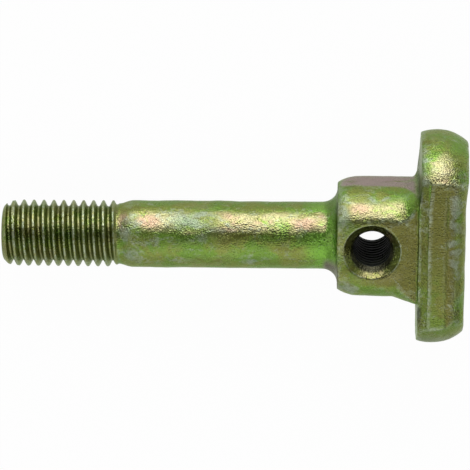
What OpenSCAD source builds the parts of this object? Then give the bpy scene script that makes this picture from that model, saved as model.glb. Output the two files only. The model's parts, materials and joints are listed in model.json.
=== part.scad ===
// Hammer-head clamp bolt, one forging: rolled thread, plain shank, tapped neck and T-shaped head.
// It is drawn along X with the bearing face at zero and the head bar along Y, then laid down at rest.

/* [Thread] */
// Diameter over the thread's crests
thread_d = 10; // [8.5:0.1:11]
// Distance from one crest to the next
thread_pitch = 1.5; // [1:0.05:2]
// Length from the tip to the end of the thread
thread_len = 17; // [12:0.1:24]
// Diameter of the end face
tip_d = 8; // [6:0.1:8.6]
// How far the end face is domed
tip_dome = 0.25; // [0.1:0.05:0.5]
// Length in which the first crests grow to full height
lead_len = 3; // [1.5:0.1:4]
// Height that the first crest lacks after the chamfer
lead_drop = 0.3; // [0.1:0.05:0.4]
// Direction of the crest that meets the end face, in degrees from the head bar
thread_start = 278; // [0:1:360]

/* [Shank] */
// Length from the bearing face under the head to the tip
under_head_len = 62.5; // [50:0.5:90]
// Diameter of the plain shank
shank_d = 10.1; // [9.5:0.1:12]
// Length of the cone between the thread and the shank
blank_cone_len = 2.3; // [1:0.1:4]

/* [Neck] */
// Length of the neck block
neck_len = 12; // [10.5:0.1:16]
// Width of the neck along the head bar
neck_w = 16.8; // [15:0.1:20]
// Thickness of the neck between the two faces of the cross hole
neck_t = 13.8; // [12:0.1:16]
// Radius of the neck's long corners
neck_corner_r = 4.4; // [2:0.1:5.5]
// Radius of the fillet between the shank and the neck
shank_fillet_r = 2.2; // [1:0.1:2.5]
// Length of the turned shoulder at the neck's end
shoulder_len = 3.8; // [2:0.1:5]
// How far the shoulder draws in at the neck's end face
shoulder_drop = 1.1; // [0.5:0.05:1.8]
// Length of the fillets that fill the corners under the head
corner_fillet_len = 4.6; // [3:0.1:6.5]
// How far those fillets spread
corner_fillet_rise = 2.9; // [1.5:0.1:3.5]

/* [Cross hole] */
// Diameter of the tapped hole inside its thread
hole_d = 5.9; // [4:0.1:6.8]
// Diameter of the countersink at each face
countersink_d = 8.4; // [7:0.1:9.5]
// Full angle of the countersink
countersink_angle = 90; // [60:5:120]
// Distance from the bearing face to the middle of the hole
hole_from_head = 6.8; // [5.5:0.1:7.4]

/* [Head] */
// Length of the head bar
head_len = 32.9; // [26:0.1:40]
// Width of the head bar over its trimmed sides
head_w = 17.6; // [15:0.1:19]
// Thickness of the head
head_t = 7; // [6:0.1:9]
// Radius of the rounded ends in plan
head_end_r = 10.6; // [10.2:0.1:12.5]
// Distance from the bearing face to the widest place of the crowned ends
crown_from_face = 2.4; // [1.5:0.1:3.5]
// How far the crowned ends draw in at the top
crown_drop = 1.8; // [0.5:0.1:2.2]
// Distance from the bearing face to the trimmed band along the sides
land_from_face = 1.4; // [0.8:0.1:2]
// Width of the trimmed band
land_w = 2.8; // [1.5:0.1:3.4]
// How far the sides draw in at the bearing face
face_draft = 0.7; // [0.2:0.1:1.2]
// How far the sides round in at the top
top_draft = 1.8; // [0.5:0.1:2.2]

/* [Hidden] */
$fn = 96;
// Steps round one turn of the thread
thread_steps = 36;
// Thread depth and crest flat as shares of the pitch, and the flank's slope
depth_ratio = 0.6134;
crest_ratio = 0.125;
flank_deg = 60;
// Share of the thread's depth that lies outside the rolled blank
raised_ratio = 0.37;
// Length in which the thread fades out, in turns
fade_turns = 1.2;
// Whole turns drawn beyond the tip, and drawn into the shank
spare_turns = 2;
// Room that keeps two round surfaces from only just touching
round_room = 0.05;
// How far a cutting solid reaches past what it cuts
reach = 1;

thread_r = thread_d / 2;
thread_depth = depth_ratio * thread_pitch;
root_r = thread_r - thread_depth;
blank_r = thread_r - raised_ratio * thread_depth;
tip_r = tip_d / 2;
dome_r = arc_radius(tip_r, tip_dome);
shank_r = shank_d / 2;
tip_x = -under_head_len;
thread_end_x = tip_x + thread_len;
shank_x = thread_end_x + blank_cone_len;
neck_x = -neck_len;

// Middle of a long corner's round, and where the turned shoulder and the corner fillets start from the axis
corner_y = neck_w / 2 - neck_corner_r;
corner_z = neck_t / 2 - neck_corner_r;
shoulder_start_r = norm([corner_y, corner_z]) + neck_corner_r + round_room;
fillet_start_r = norm([corner_y, neck_t / 2]) - round_room;

head_end_y = head_len / 2 - head_end_r;

// The bolt lies on the trimmed band of its head and on its first full crest
tip_contact_x = tip_x + lead_len;
tilt = atan((head_w / 2 - thread_r) / (land_from_face - tip_contact_x));
floor_z = land_from_face * sin(tilt) - head_w / 2 * cos(tilt);
low_x = dome_r * sin(tilt) < tip_r
    ? (tip_x + dome_r) * cos(tilt) - dome_r
    : (tip_x + tip_dome) * cos(tilt) - tip_r * sin(tilt);
high_x = head_t * cos(tilt) + (head_w / 2 - top_draft) * sin(tilt);

// Radius of an arc that leaves a line at a tangent and has moved away by rise after this length
function arc_radius(length, rise) = (length * length + rise * rise) / (2 * rise);

// One pitch of the thread form: distance along the axis, and height as a share of the depth
function thread_form() =
    let (crest = crest_ratio * thread_pitch / 2)
    let (flank = thread_depth / tan(flank_deg))
    [[-crest - flank, 0], [-crest, 1], [crest, 1], [crest + flank, 0]];

// Share of the thread's height that is left at a place along the axis
function thread_share(x) = max(0, min(1, (thread_end_x - x) / (fade_turns * thread_pitch)));

// A point on the thread, some steps round and some points of the form along
function thread_point(step, row) =
    let (form = thread_form())
    let (turn = floor(row / len(form)))
    let (mark = form[row % len(form)])
    let (x = tip_x + (turn - spare_turns + step / thread_steps) * thread_pitch + mark[0])
    let (faded_r = blank_r - round_room)
    let (full_r = root_r + thread_depth * mark[1])
    let (r = faded_r + (full_r - faded_r) * thread_share(x))
    let (angle = thread_start + 360 * step / thread_steps)
    [x, r * cos(angle), r * sin(angle)];

// A profile of radius and height, turned round the bolt's axis
module turned() {
    rotate([0, 90, 0]) rotate_extrude() children();
}

// The rolled thread as one closed skin that follows its helix
module thread_skin() {
    pitch_rows = len(thread_form());
    rows = (ceil(thread_len / thread_pitch) + 2 * spare_turns) * pitch_rows;
    last = thread_steps - 1;
    function at(step, row) = step * (rows + 1) + row;
    start_mid = at(thread_steps, 0);
    end_mid = start_mid + 1;
    points = concat(
        [for (step = [0:last]) for (row = [0:rows]) thread_point(step, row)],
        [[thread_point(0, 0)[0], 0, 0], [thread_point(last, rows)[0], 0, 0]]
    );
    side = [
        for (step = [0:last - 1]) for (row = [0:rows - 1])
            [at(step, row), at(step, row + 1), at(step + 1, row + 1), at(step + 1, row)]
    ];
    // A full turn on, each row has moved along by one pitch
    seam = [
        for (row = [0:rows - pitch_rows - 1])
            [at(last, row), at(last, row + 1), at(0, row + pitch_rows + 1), at(0, row + pitch_rows)]
    ];
    start_cap = concat(
        [for (step = [0:last - 1]) [start_mid, at(step, 0), at(step + 1, 0)]],
        [[start_mid, at(last, 0), at(0, pitch_rows)]],
        [for (row = [0:pitch_rows - 1]) [start_mid, at(0, row + 1), at(0, row)]]
    );
    end_cap = concat(
        [for (step = [0:last - 1]) [end_mid, at(step + 1, rows), at(step, rows)]],
        [[end_mid, at(0, rows), at(last, rows - pitch_rows)]],
        [for (row = [rows - pitch_rows:rows - 1]) [end_mid, at(last, row), at(last, row + 1)]]
    );
    polyhedron(points, concat(side, seam, start_cap, end_cap));
}

// The thread inside the domed end, the chamfer and the lead of its tip
module threaded_end() {
    rim_x = tip_x + tip_dome;
    lead_r = thread_r - lead_drop;
    chamfer_x = rim_x + lead_r - tip_r;
    clear_x = 2 * tip_contact_x - chamfer_x;
    far_x = thread_end_x + 2 * spare_turns * thread_pitch;
    intersection() {
        thread_skin();
        turned() {
            intersection() {
                translate([0, tip_x]) square([tip_r, tip_dome + reach]);
                translate([0, tip_x + dome_r]) circle(dome_r);
            }
            polygon([
                [0, rim_x],
                [tip_r, rim_x],
                [lead_r, chamfer_x],
                [thread_r + lead_drop, clear_x],
                [thread_r + reach, clear_x],
                [thread_r + reach, far_x],
                [0, far_x]
            ]);
        }
    }
}

// The shank from the cone at the thread to the bearing face
module shank() {
    turned() polygon([
        [0, thread_end_x],
        [blank_r, thread_end_x],
        [shank_r, shank_x],
        [shank_r, 0],
        [0, 0]
    ]);
}

// The fillet where the shank meets the neck
module shank_fillet() {
    fillet_r = shank_r + shank_fillet_r;
    turned() difference() {
        translate([0, neck_x - shank_fillet_r]) square([fillet_r, shank_fillet_r + reach]);
        translate([fillet_r, neck_x - shank_fillet_r]) circle(shank_fillet_r);
    }
}

// A rounded bar of the neck's section, from its end face into the head
module neck_bar() {
    rotate([90, 0, 90]) translate([0, 0, neck_x]) linear_extrude(neck_len + reach) {
        square([neck_w, 2 * corner_z], center = true);
        square([2 * corner_y, neck_t], center = true);
        for (y = [-corner_y, corner_y]) for (z = [-corner_z, corner_z]) {
            translate([y, z]) circle(neck_corner_r);
        }
    }
}

// What the turned shoulder takes off the neck's end
module shoulder_cut() {
    shoulder_r = arc_radius(shoulder_len, shoulder_drop);
    arc_mid_r = shoulder_start_r - shoulder_r;
    turned() difference() {
        translate([arc_mid_r, neck_x - reach]) square([shoulder_r + reach, shoulder_len + reach]);
        translate([arc_mid_r, neck_x + shoulder_len]) circle(shoulder_r);
    }
}

// The flare that fills the neck's corners towards the bearing face
module corner_flare() {
    flare_r = arc_radius(corner_fillet_len, corner_fillet_rise);
    turned() difference() {
        translate([0, -corner_fillet_len])
            square([fillet_start_r + corner_fillet_rise, corner_fillet_len + reach]);
        translate([fillet_start_r + flare_r, -corner_fillet_len]) circle(flare_r);
    }
}

// The neck block, with its fillets kept just inside its flats
module neck() {
    difference() {
        neck_bar();
        shoulder_cut();
    }
    intersection() {
        union() {
            corner_flare();
            shank_fillet();
        }
        cube([2 * under_head_len, neck_w - 2 * round_room, neck_t - 2 * round_room], center = true);
    }
}

// A rounded-in edge: below the round it is straight, and it has drawn in by drop at the end
module rounded_in(reach_r, round_x, end_x, drop) {
    round_r = arc_radius(end_x - round_x, drop);
    translate([0, round_x]) square([reach_r - round_r, end_x - round_x]);
    intersection() {
        translate([0, round_x]) square([reach_r, end_x - round_x]);
        translate([reach_r - round_r, round_x]) circle(round_r);
    }
}

// Half of the head bar's section: draft, trimmed band and rounded top
module head_side() {
    land_end = land_from_face + land_w;
    polygon([
        [0, 0],
        [head_w / 2 - face_draft, 0],
        [head_w / 2, land_from_face],
        [head_w / 2, land_end],
        [0, land_end]
    ]);
    rounded_in(head_w / 2, land_end, head_t, top_draft);
}

// What the crowned round end takes off the head bar
module head_end_cut() {
    crown_r = arc_radius(head_t - crown_from_face, crown_drop);
    core_r = head_end_r - crown_r;
    translate([0, head_end_y, 0]) difference() {
        translate([-reach, 0, -head_w]) cube([head_t + 2 * reach, head_len, 2 * head_w]);
        turned() {
            translate([0, -2 * reach]) square([core_r, head_t + 4 * reach]);
            intersection() {
                translate([0, -2 * reach]) square([head_end_r, head_t + 4 * reach]);
                translate([core_r, crown_from_face]) circle(crown_r);
            }
        }
    }
}

// The T-shaped head with trimmed sides and crowned ends
module head() {
    difference() {
        for (side = [0, 1]) mirror([0, 0, side])
            rotate([90, 0, 0]) linear_extrude(2 * head_len, center = true)
                mirror([1, -1]) head_side();
        for (side = [0, 1]) mirror([0, side, 0]) head_end_cut();
    }
}

// The tapped hole through the neck, countersunk at both faces
module cross_hole() {
    sink = (countersink_d - hole_d) / 2 / tan(countersink_angle / 2);
    slope = (countersink_d - hole_d) / 2 / sink;
    translate([-hole_from_head, 0, 0]) {
        cylinder(h = neck_t + 2 * reach, d = hole_d, center = true);
        for (side = [0, 1]) mirror([0, 0, side]) translate([0, 0, neck_t / 2 - sink])
            cylinder(h = sink + reach, d1 = hole_d, d2 = countersink_d + 2 * slope * reach);
    }
}

module hammer_head_bolt() {
    color("darkkhaki")
        translate([-(low_x + high_x) / 2, 0, -floor_z])
            rotate([0, -tilt, 0])
                difference() {
                    union() {
                        threaded_end();
                        shank();
                        neck();
                        head();
                    }
                    cross_hole();
                }
}

hammer_head_bolt();
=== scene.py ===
# %% [markdown]
# A forged hammer-head bolt in yellow zinc.
# The solid model gives this bolt its sizes and its place on the floor. This lesson makes the visible piece
# that stands for it: a forging with soft die edges, a rolled thread, a tapped cross hole and a plated
# finish. We load the solid model first. The finished piece has to stay inside that box.

import json
import math

import bmesh
import bpy
import numpy as np
from mathutils import Matrix, Vector
from mathutils.bvhtree import BVHTree
from mathutils.kdtree import KDTree

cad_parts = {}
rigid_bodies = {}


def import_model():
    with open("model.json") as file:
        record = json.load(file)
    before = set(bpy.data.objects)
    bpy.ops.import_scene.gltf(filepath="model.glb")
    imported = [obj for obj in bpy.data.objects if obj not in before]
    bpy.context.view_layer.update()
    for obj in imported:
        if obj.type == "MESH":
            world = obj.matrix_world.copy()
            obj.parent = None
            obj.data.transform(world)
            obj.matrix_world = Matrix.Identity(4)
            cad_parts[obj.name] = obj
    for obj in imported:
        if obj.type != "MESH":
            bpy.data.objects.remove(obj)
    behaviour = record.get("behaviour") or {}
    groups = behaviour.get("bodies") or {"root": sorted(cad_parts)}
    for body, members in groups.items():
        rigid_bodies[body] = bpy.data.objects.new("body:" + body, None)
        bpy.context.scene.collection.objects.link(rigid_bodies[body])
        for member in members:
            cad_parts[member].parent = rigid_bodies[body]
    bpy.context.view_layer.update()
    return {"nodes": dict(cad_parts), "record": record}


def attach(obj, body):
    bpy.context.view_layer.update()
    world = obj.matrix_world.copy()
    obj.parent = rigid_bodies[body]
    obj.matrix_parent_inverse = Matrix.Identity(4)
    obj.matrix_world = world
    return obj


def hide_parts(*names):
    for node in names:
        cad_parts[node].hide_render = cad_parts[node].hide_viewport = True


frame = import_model()

# %% [markdown]
# A frame of the bolt's own.
# The bolt lies at a slight tilt, on the band of its head and on its thread. Shapes are easier to think
# about in the bolt's own frame, as a maker's drawing has it: u along the axis with the bearing face at
# zero, v along the head bar, and w along the cross hole, all in millimetres. The mounts in the record give
# that frame, so nothing has to be fitted by eye.

# %% Read the bolt's own frame from its mounts
MM = 0.001
mounts = {mount["name"]: mount for mount in frame["record"]["mounts"]}
axis_u = -Vector(mounts["shank"]["axis"])
axis_v = Vector((0.0, 1.0, 0.0))
axis_w = Vector(mounts["cross_hole"]["axis"])
bearing_face = Vector(mounts["under_head_face"]["pos_m"])
bearing_face.y = 0.0
turn_to_world = Matrix((axis_u, axis_v, axis_w)).transposed()
bolt_to_world = Matrix.Translation(bearing_face) @ turn_to_world.to_4x4() @ Matrix.Scale(MM, 4)
world_to_bolt = bolt_to_world.inverted()
print("tilt of the bolt, degrees", round(math.degrees(math.asin(axis_u.z)), 3))

# %% [markdown]
# The forged body.
# A forging has no sharp outside edges: the dies are rounded, and plating rounds them further. A bevel
# modifier would struggle with the many curved meetings of neck, fillets and head. So the solid's mesh is
# copied, remeshed into small even squares, and relaxed a little, which rounds every edge by about the same
# radius. The threaded end is left off here, because squares of this size would blur a thread.

# %% Helpers for meshes in the bolt's frame
WELD = 0.0005


def mesh_object(name, mesh):
    piece = bpy.data.objects.new(name, mesh)
    bpy.context.scene.collection.objects.link(piece)
    return piece


def baked(piece):
    """The piece's evaluated mesh, as a plain mesh on a new object. The old object is removed."""
    graph = bpy.context.evaluated_depsgraph_get()
    mesh = bpy.data.meshes.new_from_object(piece.evaluated_get(graph))
    name = piece.name
    bpy.data.objects.remove(piece)
    return mesh_object(name, mesh)


def points_of(mesh):
    flat = np.empty(len(mesh.vertices) * 3)
    mesh.vertices.foreach_get("co", flat)
    return flat.reshape(-1, 3)


def edges_of(mesh):
    flat = np.empty(len(mesh.edges) * 2, dtype=np.int32)
    mesh.edges.foreach_get("vertices", flat)
    return flat.reshape(-1, 2)


def move_points(mesh, points):
    mesh.vertices.foreach_set("co", points.ravel())
    mesh.update()


def cut_off_below(mesh, u):
    """Take away what lies on the tip's side of a plane across the axis, and close the cut."""
    bm = bmesh.new()
    bm.from_mesh(mesh)
    bmesh.ops.remove_doubles(bm, verts=bm.verts, dist=WELD)
    everything = bm.verts[:] + bm.edges[:] + bm.faces[:]
    bmesh.ops.bisect_plane(bm, geom=everything, plane_co=(u, 0, 0), plane_no=(1, 0, 0), clear_inner=True)
    rim = [edge for edge in bm.edges if edge.is_boundary]
    bmesh.ops.holes_fill(bm, edges=rim, sides=0)
    open_edges = sum(1 for edge in bm.edges if not edge.is_manifold)
    bm.to_mesh(mesh)
    bm.free()
    return open_edges


# %% Copy the solid and remesh it
ROUGH_CUT = -48.0
SQUARE = 0.23

solid_mesh = frame["nodes"]["hammer_head_bolt"].data.copy()
solid_mesh.materials.clear()
solid_mesh.transform(world_to_bolt)
open_edges = cut_off_below(solid_mesh, ROUGH_CUT)
body = mesh_object("bolt_body", solid_mesh.copy())
remesh = body.modifiers.new("even_squares", "REMESH")
remesh.mode = "VOXEL"
remesh.voxel_size = SQUARE
body = baked(body)
print("body:", len(body.data.polygons), "squares,", open_edges, "open edges before remeshing")

# %% [markdown]
# Putting the squares back on the solid.
# Remeshing leaves faint steps and cuts across edges. Each point is moved to the nearest place on the solid,
# and points close to one of its edges are moved onto that edge, so the creases of neck and head stay where
# they are.

# %% Snap the squares to the solid and its edges
EDGE_ANGLE = math.radians(17)
EDGE_SPACING = 0.05
SNAP = 0.6 * SQUARE
SOFT_FROM, SOFT_TO = -11.8, -0.3


def edge_spots(mesh):
    """Closely spaced spots along the solid's edges, apart from the neck's soft creases."""
    bm = bmesh.new()
    bm.from_mesh(mesh)
    spots = []
    for edge in bm.edges:
        if edge.calc_face_angle(0.0) > EDGE_ANGLE:
            first, last = edge.verts[0].co, edge.verts[1].co
            if min(first.x, last.x) > SOFT_FROM and max(first.x, last.x) < SOFT_TO:
                continue
            steps = max(1, math.ceil((last - first).length / EDGE_SPACING))
            spots += [first.lerp(last, k / steps) for k in range(steps + 1)]
    skin = BVHTree.FromBMesh(bm)
    bm.free()
    return spots, skin


spots, skin = edge_spots(solid_mesh)
edge_finder = KDTree(len(spots))
for k, spot in enumerate(spots):
    edge_finder.insert(spot, k)
edge_finder.balance()
points = points_of(body.data)
edges = edges_of(body.data)
edge_away = np.empty(len(points))
for k, point in enumerate(points):
    spot, _, away = edge_finder.find(point)
    edge_away[k] = away
    points[k] = spot if away < SNAP else skin.find_nearest(point)[0]
print(len(spots), "spots on edges,", int((edge_away < SNAP).sum()), "points snapped to them")

# %% [markdown]
# Relaxing the squares.
# The solid's curves are many small flats. Away from its edges, moving each point towards the mean of its
# neighbours smooths them, and a move of almost the same size the other way keeps the volume. A few plain
# moves at the end round the edges as the dies and the plating do. The shank is then put on its exact
# radius, because a long highlight shows every small error of a cylinder.

# %% Relax the body and true the shank
TRUE_ROUNDS = 10
SOFT_ROUNDS = 14
EDGE_ROUNDS = 2
EDGE_NEAR, EDGE_FAR = 0.25, 0.8
SMOOTH_IN, SMOOTH_OUT = 0.5, -0.53
# The turned shoulder at the neck's end: its stretch along the axis, off the hole and off the axis
SHOULDER_RISE, SHOULDER_FALL = (-11.7, -11.2), (-8.0, -7.0)
HOLE_FROM_HEAD, HOLE_CLEAR = 6.8, 5.0
SHOULDER_R = 7.4
SHANK_TO = -14.4
SHANK_BLEND = 0.6
CORE_R = 3.0
shank_r = mounts["shank"]["dims"]["r_mm"]
# Radius along the cone between the thread and the shank
CONE = [(-44.75, 4.58), (-44.3, 4.66), (-43.4, 4.93), (-42.9, 5.03), (-42.4, shank_r)]


def neighbour_mean(values, edges):
    """The mean of each point's neighbours, for one value or three per point."""
    count = np.bincount(edges.ravel(), minlength=len(values))
    columns = values.reshape(len(values), -1)
    means = np.empty_like(columns)
    for k in range(columns.shape[1]):
        sums = np.bincount(edges[:, 0], columns[edges[:, 1], k], len(values))
        sums += np.bincount(edges[:, 1], columns[edges[:, 0], k], len(values))
        means[:, k] = sums / np.maximum(count, 1)
    return means.reshape(values.shape)


def smooth_step(x, low, high):
    t = np.clip((x - low) / (high - low), 0, 1)
    return t * t * (3 - 2 * t)


def window(x, rise, fall):
    """One inside a zone and zero outside it, with a smooth rise and fall."""
    return smooth_step(x, *rise) * (1 - smooth_step(x, *fall))


freedom = smooth_step(edge_away, EDGE_NEAR, EDGE_FAR)[:, None]
for factor in (SMOOTH_IN, SMOOTH_OUT) * TRUE_ROUNDS:
    points = points + factor * freedom * (neighbour_mean(points, edges) - points)
shoulder = window(points[:, 0], SHOULDER_RISE, SHOULDER_FALL)
shoulder *= np.hypot(points[:, 0] + HOLE_FROM_HEAD, points[:, 1]) > HOLE_CLEAR
shoulder *= np.hypot(points[:, 1], points[:, 2]) > SHOULDER_R
for _ in range(SOFT_ROUNDS):
    points = points + SMOOTH_IN * shoulder[:, None] * (neighbour_mean(points, edges) - points)
for _ in range(EDGE_ROUNDS):
    points = points + SMOOTH_IN * (neighbour_mean(points, edges) - points)

radius = np.hypot(points[:, 1], points[:, 2])
cone_u, cone_r = zip(*CONE)
true_r = np.interp(points[:, 0], cone_u, cone_r)
on_shank = (1 - smooth_step(points[:, 0], SHANK_TO, SHANK_TO + SHANK_BLEND)) * (radius > CORE_R)
scale = 1 + on_shank * (true_r / np.maximum(radius, 0.1) - 1)
points[:, 1:] *= scale[:, None]
print("shank trued:", int(on_shank.sum()), "points")

# %% [markdown]
# The corners of the neck.
# A die fills unevenly, so the neck's four corners differ. The one that looks up on the head bar's far side
# is a wide round, which meets the face in a soft crease and ends before the head in an arch. The near one
# runs out to a sharp corner along a straight line, and the two below keep their rounds up to the head. The
# solid has the same plain round on all four. We rework the points of each corner: a point keeps its
# direction from the middle of the solid's round, and moves out or in to the section that its corner has at
# that place along the axis.

# %% Find the section that each corner has
NECK_HALF = 6.9
NECK_SIDE = 8.4
ROUND_R = 4.4
HOLE_U = (world_to_bolt @ Vector(mounts["cross_hole"]["pos_m"])).x
SINK_R = 4.2
# The wide round: its radius, and how far its middle lies from the sharp corner along v and w
WIDE_R = 7.0
WIDE_V, WIDE_W = 7.0, 6.15
WIDE_FACE = 3.66
# Where each corner starts and stops to run out: far upper, near upper, and the two below
ARCH_RUN = (-3.3, -0.1)
LINE_RUN = (-3.7, -0.3)
LOW_RUN = (-0.5, -0.05)
LAST_SHARE = 0.1


def ray_to_round(a, b, da, db, round_r):
    """How far a ray from the origin along da, db goes until it leaves a round at a, b."""
    along = da * a + db * b
    return along + np.sqrt(np.maximum(along * along - a * a - b * b + round_r * round_r, 0))


def corner_targets(points):
    """Each point's direction from the middle of the solid's round, its distance, and its new distance."""
    u, v, w = points.T
    a = np.abs(v) - (NECK_SIDE - ROUND_R)
    b = np.abs(w) - (NECK_HALF - ROUND_R)
    away = np.maximum(np.hypot(a, b), 0.01)
    da, db = a / away, b / away
    to_face = ROUND_R / np.maximum(db, 0.01)
    to_side = ROUND_R / np.maximum(da, 0.01)
    to_flat = np.minimum(to_face, to_side)

    far_upper = (v > 0) & (w > 0)
    run = np.where((w > 0)[:, None], LINE_RUN, LOW_RUN)
    share = np.clip((u - run[:, 0]) / (run[:, 1] - run[:, 0]), 0, 1)
    line_size = 1 + (LAST_SHARE - 1) * share
    small_r = ROUND_R * line_size
    middle = ROUND_R - small_r
    to_small = ray_to_round(middle, middle, da, db, small_r)
    beyond = np.minimum(da, db) * to_flat > middle
    plain = np.where(beyond, to_small, to_flat)

    share = np.clip((u - ARCH_RUN[0]) / (ARCH_RUN[1] - ARCH_RUN[0]), 0, 1)
    size = np.maximum(np.sqrt(1 - share * share), LAST_SHARE)
    to_wide = ray_to_round(ROUND_R - WIDE_V * size, ROUND_R - WIDE_W * size, da, db, WIDE_R * size)
    on_face = da * to_flat > ROUND_R - WIDE_FACE * size
    on_side = db * to_flat > ROUND_R - WIDE_W * size
    wide = np.where(on_face & on_side, to_wide, to_flat)
    return da, db, away, np.where(far_upper, wide, plain)


print("rounds of the neck, mm: plain", ROUND_R, "and wide", WIDE_R)

# %% [markdown]
# Moving the corner points.
# Only points on a corner may move, and the move fades out at both ends of the neck. The crease of the wide
# round is soft on the real bolt, so it is relaxed again afterwards, and so are the points that moved.

# %% Move the corner points and soften the crease
# Which points belong to a corner: how far inside the round's middle, how slanted and how far away
INSIDE_V, INSIDE_W = 0.1, 1.5
LEAST_SLANT = 0.02
LEAST_AWAY = 0.8 * ROUND_R
# Where the rework sets in along the axis and where it ends under the head, and its limits
WIDE_RISE, OTHERS_RISE = (-11.8, -11.4), (-6.5, -5.5)
HEAD_FADE = (-0.14, -0.03)
MOST_IN, MOST_OUT = -1.2, 2.5
# The soft crease between the wide round and the face
SOFT_SIDE, SOFT_DOWN = (3.0, 3.8), (1.0, 2.0)
SOFT_RISE, SOFT_FALL = (-11.6, -11.0), (-3.6, -2.6)
SOFT_ROOM = 0.4
CREASE_ROUNDS, MOVED_ROUNDS = 10, 3
LEAST_MOVE = 0.05


def rework_corners(points):
    """Where the neck's corner points go, and how far each one moves."""
    u, v, w = points.T
    da, db, away, target = corner_targets(points)
    at_corner = np.abs(v) > NECK_SIDE - ROUND_R + INSIDE_V
    at_corner &= np.abs(w) > NECK_HALF - ROUND_R - INSIDE_W
    at_corner &= (da > LEAST_SLANT) & (away > LEAST_AWAY)
    wide = smooth_step(u, *WIDE_RISE) * (v > 0) * (w > 0)
    others = smooth_step(u, *OTHERS_RISE) * ((v < 0) | (w < 0)) * (db > LEAST_SLANT)
    part = at_corner * np.maximum(wide, others) * (1 - smooth_step(u, *HEAD_FADE))
    most = np.where((wide > 0) & (u < ARCH_RUN[0]), 0.0, MOST_OUT)
    push = part * np.clip(target - away, MOST_IN, most)
    moved = points.copy()
    moved[:, 1] += np.sign(v) * da * push
    moved[:, 2] += np.sign(w) * db * push
    return moved, push


points, push = rework_corners(points)
u, v, w = points.T
by_crease = smooth_step(v, *SOFT_SIDE) * smooth_step(w, *SOFT_DOWN) * smooth_step(u, *SOFT_RISE)
by_crease *= (1 - smooth_step(u, *SOFT_FALL)) * (np.hypot(u - HOLE_U, v) > SINK_R + SOFT_ROOM)
for _ in range(CREASE_ROUNDS):
    points = points + SMOOTH_IN * by_crease[:, None] * (neighbour_mean(points, edges) - points)
for _ in range(MOVED_ROUNDS):
    relaxed = points + SMOOTH_IN * (neighbour_mean(points, edges) - points)
    points = np.where((np.abs(push) > LEAST_MOVE)[:, None], relaxed, points)
print("neck corners moved, mm: from", round(float(push.min()), 2), "to", round(float(push.max()), 2))

# %% [markdown]
# The trimmed band.
# A forging leaves its dies with a thin fin of steel where the dies meet. A trimming tool shears the fin off
# and leaves a flat band along the head's sides, which stands a little proud. We find the flat band on the
# mesh and sink the skin next to it by a tenth of a millimetre.

# %% Let the trimmed band stand proud
BAND_W = 8.74
BAND_STEP = 0.11
BAND_NEAR, BAND_FAR = 0.2, 2.4
BAND_LOW, BAND_HIGH = 1.4, 4.2
BAND_NORMAL = 0.97
# Where the skin next to the band lies: this far below it, and above this place on the axis
BAND_BELOW, HEAD_FROM = 3.0, 0.2


def normals_of(mesh):
    flat = np.empty(len(mesh.vertices) * 3)
    mesh.vertex_normals.foreach_get("vector", flat)
    return flat.reshape(-1, 3)


move_points(body.data, points)
normals = normals_of(body.data)
on_band = (np.abs(points[:, 2]) > BAND_W) & (np.abs(normals[:, 2]) > BAND_NORMAL)
on_band &= (points[:, 0] > BAND_LOW) & (points[:, 0] < BAND_HIGH)
band_finder = KDTree(int(on_band.sum()))
for k, point in enumerate(points[on_band]):
    band_finder.insert(point, k)
band_finder.balance()
near_band = np.abs(points[:, 2]) > BAND_W - BAND_BELOW
near_band &= points[:, 0] > HEAD_FROM
band_sink = np.zeros(len(points))
for k in np.flatnonzero(near_band & ~on_band):
    away = band_finder.find(points[k])[2]
    band_sink[k] = BAND_STEP * (1 - smooth_step(away, BAND_NEAR, BAND_FAR))
points = points - normals * band_sink[:, None]
print("trimmed band:", int(on_band.sum()), "points stand proud by", BAND_STEP, "mm")

# %% [markdown]
# Marks of the forge.
# Hot steel doesn't fill a die perfectly, and bolts knock against each other in the plating barrel. A sum of
# slow waves in random directions gives the faint unevenness that breaks up the highlights, and a few
# shallow dents sit where such bolts get knocked. Both move the surface by hundredths of a millimetre, so
# the sizes stay true. The far arm of the head leans back by less than half a millimetre.

# %% Uneven the forged skin and knock in a few dents
FORGE_SEED = 11
ARM_LEAN = 0.36
ARM_SIDE, ARM_RISE = (6.5, 12.5), (-0.3, -0.05)
WAVES = 40
UNEVEN = 0.026
WAVE_SHORT, WAVE_LONG = 2.5, 9.0
RIPPLE = 0.006
RIPPLE_SHORT, RIPPLE_LONG = 0.9, 2.2
MOST_WAVE = 2
BAND_CALM = 0.7
# Each dent: its place u, v, w, its radius and its depth
DENTS = [
    (-11.3, -5.6, 6.2, 0.9, 0.14),
    (-10.6, -6.6, 5.4, 0.7, 0.10),
    (-4.6, 4.4, 6.6, 0.7, 0.10),
    (-29.0, 2.0, 4.6, 0.9, 0.06),
    (-24.5, -2.5, 4.4, 0.8, 0.07),
    (-38.0, 0.6, 5.0, 1.1, 0.06),
    (-20.0, -3.9, -3.2, 0.9, 0.08),
    (-33.0, 3.4, -3.7, 1.0, 0.08),
    (3.2, 14.9, 3.0, 1.0, 0.10),
    (6.9, -5.0, 2.0, 1.2, 0.08),
    (6.9, 9.0, -3.5, 0.9, 0.07),
    (-8.0, 8.3, 1.8, 0.8, 0.08),
]


def forge_waves(places, rng, count, short, long):
    """A smooth uneven field with values of about one, from waves in random directions."""
    directions = rng.normal(size=(count, 3))
    directions /= np.linalg.norm(directions, axis=1)[:, None]
    lengths = rng.uniform(short, long, count)
    phases = rng.uniform(0, 2 * math.pi, count)
    waves = np.sin(places @ (directions * (2 * math.pi / lengths)[:, None]).T + phases)
    return waves.sum(axis=1) * math.sqrt(2 / count)


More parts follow.
